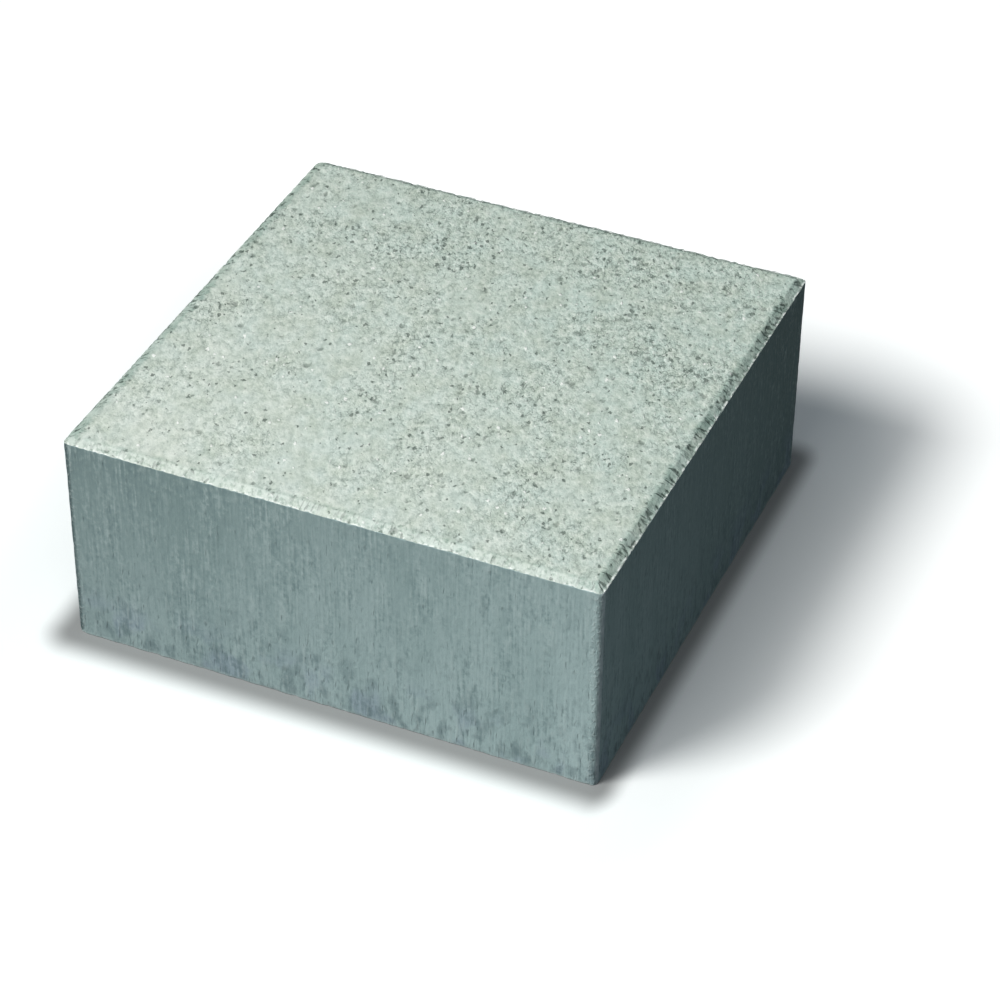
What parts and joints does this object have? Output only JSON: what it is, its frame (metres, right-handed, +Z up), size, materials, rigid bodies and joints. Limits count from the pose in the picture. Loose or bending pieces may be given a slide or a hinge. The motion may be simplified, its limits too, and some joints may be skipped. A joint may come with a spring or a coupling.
{
  "type": "concrete step block",
  "caption": "Square dry-cast concrete block that makes one step of a garden stair, with a small chamfer all round its tread, plain sides and a flat bed.",
  "frame": {"origin": "centre of the bed, the flat underside that the block lies on", "axes": "+Z up from the bed to the tread, +X along the front edge of the step, +Y from the front face to the back face"},
  "size_m": [0.35, 0.35, 0.15],
  "materials": {
    "concrete": "dry-cast grey concrete: sandy tamped tread, sides streaked by the mould"
  },
  "bodies": {
    "root": {"step_block": "concrete"}
  },
  "joints": []
}
